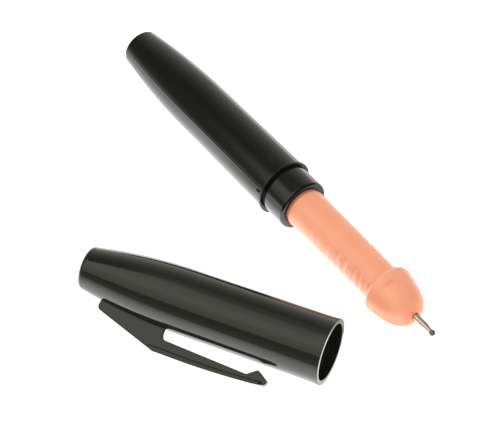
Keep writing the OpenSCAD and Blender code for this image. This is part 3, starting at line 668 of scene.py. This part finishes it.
# clip: an inner and an outer edge line, each followed by the same station; the section between them is a web
# with rounded edges, a wider flange along the back and a small foot where the fin meets the cap
def makeClip():
    s = clipSizes
    armTip = s["armRoot"] - s["armLength"]
    toothBack, toothPeak = armTip + s["toothLength"], armTip + s["toothLead"]
    innerRoot, innerTip = capRadius(s["armRoot"]) + s["gapRoot"], capRadius(toothBack) + s["gapTip"]
    outerRoot, outerTip = innerRoot + s["heightRoot"], innerTip + s["heightTip"]
    slotEnd = s["armRoot"] + s["slotRound"] + s["slotBack"]
    tipTop, tipBase = outerTip - s["tipHeight"], outerTip - s["tipLift"] - s["tipChamfer"]
    # inner edge as rows of [station, along, out]: foot in the cap's wall, slot end, arm, tooth
    noseAt = s["finBack"] - s["finRound"]
    centre = np.array([-noseAt, capRadius(noseAt) + s["finHeight"] - s["finRound"]])
    noseTurn = math.radians(s["noseTurn"])
    foot = np.linspace(centre[0] + s["finRound"] * math.cos(noseTurn), -slotEnd, 60)
    footStation = np.interp(foot, [foot[0], -slotEnd], [-s["finBack"], -slotEnd - s["wallRoom"]])
    footRow = np.stack([footStation, foot, capRadius(-foot) - s["sunk"]], -1)
    share = np.linspace(0, 1, 8)[1:]
    wallStart, wallEnd = capRadius(slotEnd) - s["sunk"], innerRoot - s["slotRound"]
    wallRow = np.stack([-slotEnd - s["wallRoom"] * (1 - share), 0 * share - slotEnd,
                        wallStart + (wallEnd - wallStart) * share], -1)
    turn = np.radians(np.linspace(180, 90, 14))[1:]
    slotAlong = -slotEnd + s["slotRound"] * (1 + np.cos(turn))
    slotRow = np.stack([slotAlong, slotAlong, wallEnd + s["slotRound"] * np.sin(turn)], -1)
    armStart = np.interp(s["armLead"], [0, s["armRoot"] - toothBack], [innerRoot, innerTip])
    toothOut = capRadius(toothPeak) + s["gapTooth"] - s["toothDrop"]
    tooth = filleted([[-s["armRoot"] + s["armLead"], armStart, 0], [-toothBack, innerTip, s["toothFillet"]],
                      [-toothPeak - s["toothBackBy"], toothOut, s["toothRound"]],
                      [-armTip, tipTop, s["toothFillet"]], [-armTip, tipBase, 0]], 12)
    onTip = np.clip((tooth[:, 1] - tipTop) / (tipBase - tipTop), 0, 1) * (tooth[:, 0] > -toothPeak)
    toothStation = tooth[:, 0] + s["tipRoom"] * (onTip - eased(tooth[:, 0], -toothPeak, -armTip))
    inner = np.vstack([footRow, wallRow, slotRow, np.column_stack([toothStation, tooth])])
    # outer edge: blunt end, slope, corner, crest and bowed back
    corner = np.array([-s["finCorner"], outerRoot])
    rise = corner - centre
    edgeTurn = math.atan2(rise[1], rise[0]) + math.acos(s["finRound"] / np.linalg.norm(rise))
    turn = np.linspace(noseTurn, edgeTurn, 18)
    nose = centre + s["finRound"] * np.stack([np.cos(turn), np.sin(turn)], -1)
    u = np.linspace(0, 1 - s["tipChamfer"] / s["armLength"], 90)
    bowed = outerRoot + (outerTip - outerRoot) * u + 4 * s["bow"] * u * (1 - u)
    back = np.stack([s["armLength"] * u - s["armRoot"], bowed], -1)
    crest = filleted([[*nose[-1], 0], [*corner, s["cornerRound"]], [-s["armRoot"], outerRoot, 0]], 9)
    outer = np.vstack([nose, crest[1:], back[1:]])
    walked = np.concatenate([[0], np.cumsum(np.hypot(*np.diff(outer, axis=0).T))])
    count = len(nose)
    evenAt = np.interp(-s["evenFrom"], outer[count:, 0], walked[count:])
    outerStation = np.interp(walked, [0, walked[count - 1], evenAt, walked[-1]],
                             [-s["finBack"], nose[-1, 0], -s["evenFrom"], -armTip])
    spread = np.linspace(-s["finBack"], -armTip, s["stations"])
    station = np.unique(np.concatenate([spread, inner[:, 0], outerStation]))
    station = station[np.concatenate([[True], np.diff(station) > s["closest"]])]
    inAlong, inOut = (np.interp(station, inner[:, 0], inner[:, k]) for k in (1, 2))
    outAlong, outOut = (np.interp(station, outerStation, outer[:, k]) for k in (0, 1))
    # section: distances from the inner edge, then from the outer edge, with the half thickness at each
    e = s["edge"]
    quarter = np.radians(np.linspace(0, 90, 5))
    inset = np.concatenate([e * (1 - np.cos(quarter)), [e * 1.3]])
    narrower = np.concatenate([e * np.sin(quarter) - e, [0]])
    fromInner = np.concatenate([inset, s["sunk"] + np.array(s["footAt"])])
    innerHalf = np.concatenate([narrower, np.zeros(len(s["footAt"]))])
    footHalf = s["footSpread"] * np.concatenate([np.ones(len(inset)), s["footShare"]])
    flangeStart = -s["finCorner"] - s["flangeLead"]
    flangeFoot = np.interp(outAlong, [flangeStart, -s["finCorner"], -s["armRoot"], -armTip],
                           [s["flangeStart"], s["flangeRoot"], s["flangeRoot"], s["flangeTip"]])[:, None]
    fromOuter = np.hstack([flangeFoot + np.array(s["flangeAt"]), 0 * flangeFoot + inset[::-1]])
    flangeShare = np.concatenate([s["flangeShare"], np.ones(len(inset))])
    outerHalf = np.concatenate([np.zeros(len(s["flangeAt"])), narrower[::-1]])
    width = np.hypot(outAlong - inAlong, outOut - inOut)[:, None]
    room = np.minimum(1, width / (fromInner[-1] + fromOuter[:, :1] + 0.1))  # short sections shrink their edges
    place = np.hstack([fromInner * room, width - fromOuter * room]) / width
    hasFoot = (1 - eased(station + slotEnd, *s["footEnd"]))[:, None]
    flangeEnd = -armTip - s["flangeInset"]
    flangeOn = (eased(outAlong - flangeStart, -s["flangeFade"], s["flangeFade"])
                * (1 - eased(station - flangeEnd, -s["flangeTip"], s["flangeFade"])))[:, None]
    half = s["web"] + np.hstack([innerHalf + footHalf * hasFoot,
                                 outerHalf + flangeShare * (s["flange"] - s["web"]) * flangeOn])
    along = inAlong[:, None] + (outAlong - inAlong)[:, None] * place
    out = inOut[:, None] + (outOut - inOut)[:, None] * place
    # towards the tip the back leans: its upper edge draws in by a square law
    lift = s["tipLift"] * np.clip(1 + (outAlong + armTip) / s["liftLength"], 0, 1) ** 2
    upperOut = out - lift[:, None] * place
    # both ends close with a rounded edge: the end rows draw in sideways
    noseEnd, tipEnd = (1 - np.sqrt(1 - np.clip(1 - reach / r, 0, 1) ** 2) for reach, r in (
        (station + s["finBack"], s["noseRound"]), (-armTip - station, e)))
    half = half - (s["noseRound"] * noseEnd + e * tipEnd)[:, None]
    grid = onPlate(capPlace, np.hstack([along, along[:, ::-1]]), np.hstack([upperOut, out[:, ::-1]]),
                   np.hstack([half, -half[:, ::-1]]))
    obj = gridPiece("pocketClip", grid, False, grid[0].mean(0), grid[-1].mean(0))
    # the slot's end is dull, as the mould's pin left it
    inSlot = eased(station + slotEnd, *s["dullStart"]) * (1 - eased(station + slotEnd, *s["dullEnd"]))
    rounded = len(quarter)
    atEdge = np.concatenate([np.ones(rounded), np.zeros(grid.shape[1] - 2 * rounded), np.ones(rounded)])
    setField(obj, "cutMark", inSlot[:, None] * atEdge)
    obj.data.materials.append(capBlack)
    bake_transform(obj)
    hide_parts("clip_fin", "clip_arm")
    print("made", obj.name, len(obj.data.polygons), "faces")


makeClip()


# the pieces inside the pen keep their CAD shape and get their own finishes
innerFinishes = {
    "refill_tube": {"name": "milky extruded tube", "stretch": (60, 1400, 1400), "detail": 3, "span": (0.3, 0.7),
                    "tones": ((0.76, 0.76, 0.72), (0.84, 0.84, 0.81)), "rough": (0.35, 0.5),
                    "sockets": {"Subsurface Weight": 0.3, "Subsurface Scale": 0.001}},
    "ink_column": {"name": "thick ink paste", "stretch": (200, 900, 900), "detail": 4, "span": (0.35, 0.65),
                   "tones": ((0.008, 0.01, 0.035), (0.016, 0.02, 0.07)), "rough": (0.2, 0.35), "sockets": {}},
    "writing_ball": {"name": "ground ball metal", "stretch": (6000, 6000, 6000), "detail": 3, "span": (0.35, 0.65),
                     "tones": ((0.46, 0.46, 0.48), (0.58, 0.58, 0.6)), "rough": (0.18, 0.3),
                     "sockets": {"Metallic": 1.0}},
}
for nodeName, finish in innerFinishes.items():
    nodeMesh = frame["nodes"][nodeName].data
    nodeMesh.materials.clear()
    nodeMesh.materials.append(twoTone(finish))
print("inner pieces dressed")

# camera at the photograph's angle: bearing and height of the view, distance and the point it looks at
viewing = {"bearing": 53.32, "height": 49.38, "distance": 0.8934, "aim": (-0.00094, 0.01947, 0.0),
           "lens": 216.0, "sensor": 36.0, "clip": (0.05, 20)}
turn = math.radians(viewing["bearing"])
rightWay = np.array([math.cos(turn), math.sin(turn), 0])
awayWay = np.array([-math.sin(turn), math.cos(turn), 0])
upWay = np.array([0, 0, 1.0])


# a direction from the object, by elevation above the floor and bearing, 0 away from the camera and -90 to its left
def towards(elevation, bearing):
    e, b = math.radians(elevation), math.radians(bearing)
    return math.cos(e) * (math.sin(b) * rightWay + math.cos(b) * awayWay) + math.sin(e) * upWay


# an object turned by its three ways and set down in its place
def placedBy(obj, sideways, upright, backwards, where):
    turned = Matrix((sideways, upright, backwards)).transposed().to_4x4()
    obj.matrix_world = Matrix.Translation(where) @ turned


camera = bpy.data.objects.new("photoCamera", bpy.data.cameras.new("photoCamera"))
camera.data.lens, camera.data.sensor_width = viewing["lens"], viewing["sensor"]
camera.data.clip_start, camera.data.clip_end = viewing["clip"]
backWay = towards(viewing["height"], 180)
standing = np.array(viewing["aim"]) + viewing["distance"] * backWay
placedBy(camera, rightWay, np.cross(backWay, rightWay), backWay, standing)
bpy.context.scene.collection.objects.link(camera)
bpy.context.scene.camera = camera

# one large panel light on the camera's left: it leans over the object and is turned a little in its own plane
panel = {"elevation": 57.0, "bearing": -112.0, "reach": 0.55, "lower": -0.395, "lean": 32.5, "turn": 16.4,
         "corner": (-0.228, -0.082), "wide": 0.75, "tall": 1.5, "radiance": 1.27, "tint": (1, 0.985, 0.91),
         "fade": ((0.0, 0.55), (0.08, 0.65), (0.17, 0.82), (0.27, 1.0), (0.47, 0.95), (0.92, 0.1))}
outWay = towards(panel["elevation"], panel["bearing"])
levelWay = unit(np.cross(upWay, outWay))
lean, turn = math.radians(panel["lean"]), math.radians(panel["turn"])
leanWay = math.cos(lean) * np.cross(outWay, levelWay) + math.sin(lean) * outWay
wideWay = math.cos(turn) * levelWay + math.sin(turn) * leanWay
tallWay = math.cos(turn) * leanWay - math.sin(turn) * levelWay
panelMiddle = (outWay * panel["reach"] + np.cross(outWay, levelWay) * panel["lower"]
               + levelWay * panel["corner"][0] + leanWay * panel["corner"][1]
               + wideWay * panel["wide"] / 2 + tallWay * panel["tall"] / 2)
lamp = bpy.data.lights.new("panelLight", "AREA")
lamp.shape, lamp.size, lamp.size_y = "RECTANGLE", panel["wide"], panel["tall"]
lamp.color = panel["tint"]
lamp.energy = panel["radiance"] * math.pi * panel["wide"] * panel["tall"]
lamp.use_nodes = True
tree = lamp.node_tree
upPanel = addNode(tree, "SeparateXYZ", None, n0=addNode(tree, "NewGeometry").outputs["Parametric"]).outputs["Y"]
strength = ramped(tree, upPanel, panel["fade"])  # brightest low down
tree.links.new(strength, tree.nodes["Emission"].inputs["Strength"])
lampObj = bpy.data.objects.new("panelLight", lamp)
placedBy(lampObj, wideWay, tallWay, np.cross(wideWay, tallWay), panelMiddle)
lampObj.visible_camera = False
bpy.context.scene.collection.objects.link(lampObj)


# floor: a white card whose near edge lies just out of the picture; it is white to the camera and keeps the shadow.
# Places on it are metres from the middle of the view: right and away, or along and across the pen and the cap
floorSizes = {
    "left": -0.2, "right": 0.6, "near": -0.125, "far": 0.8, "below": 0.00002,
    "white": 0.85, "paper": 0.82, "bounce": 0.7, "shine": 2.1, "reach": 0.3,
    "pool": ((0.2, 1.0), (0.267, 0.74), (0.3, 0.53), (0.367, 0.29), (0.5, 0.08), (1.0, 0.0)),  # glow by distance
    "behind": (0.028, 0.042, 1, 0.78), "penFoot": (0.0, 0.0035, 0, 1), "footDim": (-0.028, -0.016, 0.12, 0.24),
    "farSide": (0.008, 0.018, 0, 1), "farGlow": (0.12, 0.3, 0.47, 0),  # the glow beyond the pen
    "gripSide": (0.004, 0.014, 0, 1), "gripStart": (-0.024, -0.003, 0, 1), "gripEnd": (0.034, 0.044, 1, 0),
    "gripDim": 0.4, "pointSide": (0.00625, 0.00825), "pointStart": (0.05, 0.056, 0, 0.8),  # shade below the point
    "capEdge": (-0.028, 0.0, -0.0485, -0.051), "capFoot": (-0.003, 0.0, 0, 0.28), "capUnder": (0.004, 0.008, 1, 0),
    "dipAt": (-0.038, -0.012), "dip": (0.017, 0.033, 0.36, 1),  # a dimmer spot between cap and barrel
}


def makeFloor():
    s = floorSizes
    sideways, deep = np.meshgrid([s["left"], s["right"]], [s["near"], s["far"]])
    middle = np.array(viewing["aim"])
    points = middle + sideways[..., None] * rightWay + deep[..., None] * awayWay
    points = points + (cadBox[0].z - s["below"]) * upWay
    mesh = bpy.data.meshes.new("whiteCard")
    mesh.from_pydata(points.reshape(-1, 3).tolist(), [], [(0, 1, 3, 2)])
    obj = bpy.data.objects.new("whiteCard", mesh)
    bpy.context.scene.collection.objects.link(obj)
    mat, tree, shader = newMaterial("white card")
    tree.nodes.remove(shader)
    fromAim = measured(tree, "SUBTRACT", addNode(tree, "NewGeometry").outputs["Position"], middle)["Vector"]
    capLevel = lyingAt(capPlace["origin"], capPlace["along"], upWay)
    ways = awayWay, penPlace["along"], penPlace["across"], capLevel["along"], capLevel["across"]
    away, alongPen, beyondPen, alongCap, besideCap = (
        measured(tree, "DOT_PRODUCT", fromAim, way)["Value"] for way in ways)
    fromMiddle, fromDip = (measured(tree, "DISTANCE", fromAim, right * rightWay + deep * awayWay)["Value"]
                           for right, deep in ((0, 0), s["dipAt"]))
    # painted light for gloss: a pool of glow that fades with distance, with painted shade that dims it close to the
    # pen's foot, beyond the pen and beside the grip
    pool = ramped(tree, ranged(tree, fromMiddle, 0, s["reach"], 0, 1), s["pool"])
    foot = product(tree, ranged(tree, beyondPen, *s["penFoot"]), ranged(tree, alongPen, *s["footDim"]))
    pool = product(tree, pool, ranged(tree, away, *s["behind"]), ranged(tree, foot, 0, 1, 1, 0))
    pool = mixed(tree, ranged(tree, beyondPen, *s["farSide"]), pool, ranged(tree, away, *s["farGlow"]))
    beside = product(tree, ranged(tree, beyondPen, *s["gripSide"]), ranged(tree, alongPen, *s["gripStart"]),
                     ranged(tree, alongPen, *s["gripEnd"]))
    # painted shade in the glow below the point, along the cap's foot and in a spot between cap and barrel
    middleOf, reach = s["pointSide"]
    under = addNode(tree, "Math", {"operation": "COMPARE"}, n0=beyondPen, n1=middleOf, n2=reach).outputs[0]
    shade = product(tree, under, ranged(tree, alongPen, *s["pointStart"]))
    fromEdge = combined(tree, "SUBTRACT", besideCap, ranged(tree, alongCap, *s["capEdge"]))
    capFoot = product(tree, ranged(tree, fromEdge, *s["capFoot"]), ranged(tree, fromEdge, *s["capUnder"]))
    dim = product(tree, ranged(tree, beside, 0, 1, 1, s["gripDim"]), ranged(tree, shade, 0, 1, 1, 0),
                  ranged(tree, capFoot, 0, 1, 1, 0), ranged(tree, fromDip, *s["dip"]))
    # camera and glass see plain white, gloss sees the painted pool of light with its painted shade, anything else a
    # soft bounce
    rays = addNode(tree, "LightPath")
    gloss = product(tree, rays.outputs["Is Glossy Ray"], pool, dim, s["shine"])
    seen = combined(tree, "ADD", rays.outputs["Is Camera Ray"], rays.outputs["Is Transmission Ray"])
    plain = combined(tree, "ADD", seen, rays.outputs["Is Glossy Ray"])
    level = combined(tree, "ADD", product(tree, seen, s["white"]), ranged(tree, plain, 0, 1, s["bounce"], 0))
    paper = addNode(tree, "BsdfDiffuse", None, Color=(s["paper"],) * 3)
    shine = addNode(tree, "Emission", None, Color=(1, 1, 1), Strength=combined(tree, "ADD", level, gloss))
    total = addNode(tree, "AddShader", None, n0=paper.outputs[0], n1=shine.outputs[0])
    tree.links.new(total.outputs[0], tree.nodes["Material Output"].inputs["Surface"])
    mesh.materials.append(mat)


makeFloor()


# studio tent: a dim dome that only gloss sees, paler beyond the far side of the object and along its foot
tentSizes = {
    "radius": 3.0, "lowest": -50.0, "highest": 89.0, "tint": (1, 0.985, 0.91),
    "patchAt": (72, -25), "patch": (0.945, 0.99, 0, 0.34),  # a paler patch overhead
    "far": ((0.5, 0.0), (0.63, 0.13), (0.72, 0.25), (0.81, 0.4), (0.89, 0.6), (0.95, 0.78), (1.0, 0.92)),
    "low": ((0.0, 0.28), (0.2, 0.12), (0.4, 0.065), (1.0, 0.06)),
}


def makeTent():
    s = tentSizes
    elevation = np.radians(np.linspace(s["lowest"], s["highest"], 30))[:, None]
    bearing = fullTurn(60)[None, :]
    grid = np.stack([np.cos(elevation) * np.cos(bearing), np.cos(elevation) * np.sin(bearing),
                     np.sin(elevation) + 0 * bearing], -1)
    obj = gridPiece("studioTent", s["radius"] * grid, False, None, np.array([0, 0, s["radius"]]))
    mat, tree, shader = newMaterial("dim studio tent")
    tree.nodes.remove(shader)
    coords = addNode(tree, "TexCoord").outputs["Object"]
    toward = addNode(tree, "VectorMath", {"operation": "NORMALIZE"}, n0=coords).outputs[0]
    away, up, over = (measured(tree, "DOT_PRODUCT", toward, way)["Value"]
                      for way in (awayWay, upWay, towards(*s["patchAt"])))
    far, low, high = ramped(tree, away, s["far"]), ramped(tree, up, s["low"]), ranged(tree, over, *s["patch"])
    total = combined(tree, "ADD", combined(tree, "ADD", far, low), high)
    glow = addNode(tree, "Emission", None, Color=s["tint"], Strength=total)
    tree.links.new(glow.outputs[0], tree.nodes["Material Output"].inputs["Surface"])
    mat.cycles.emission_sampling = "NONE"
    obj.data.materials.append(mat)
    for kind in ("camera", "diffuse", "transmission", "volume_scatter", "shadow"):
        setattr(obj, "visible_" + kind, False)


makeTent()

# world: white to the camera, gloss and glass, and an even soft fill for everything else
fill = 0.82
world = bpy.data.worlds.new("studio")
bpy.context.scene.world = world
world.use_nodes = True
tree = world.node_tree
rays = addNode(tree, "LightPath")
seen = combined(tree, "ADD", rays.outputs["Is Camera Ray"], rays.outputs["Is Transmission Ray"])
seen = combined(tree, "ADD", seen, rays.outputs["Is Glossy Ray"])
feedAll(tree, tree.nodes["Background"], {"Color": (1, 1, 1), "Strength": ranged(tree, seen, 0, 1, fill, 1)})
bpy.context.scene.view_settings.view_transform = "Standard"
print("stage, light and camera set")
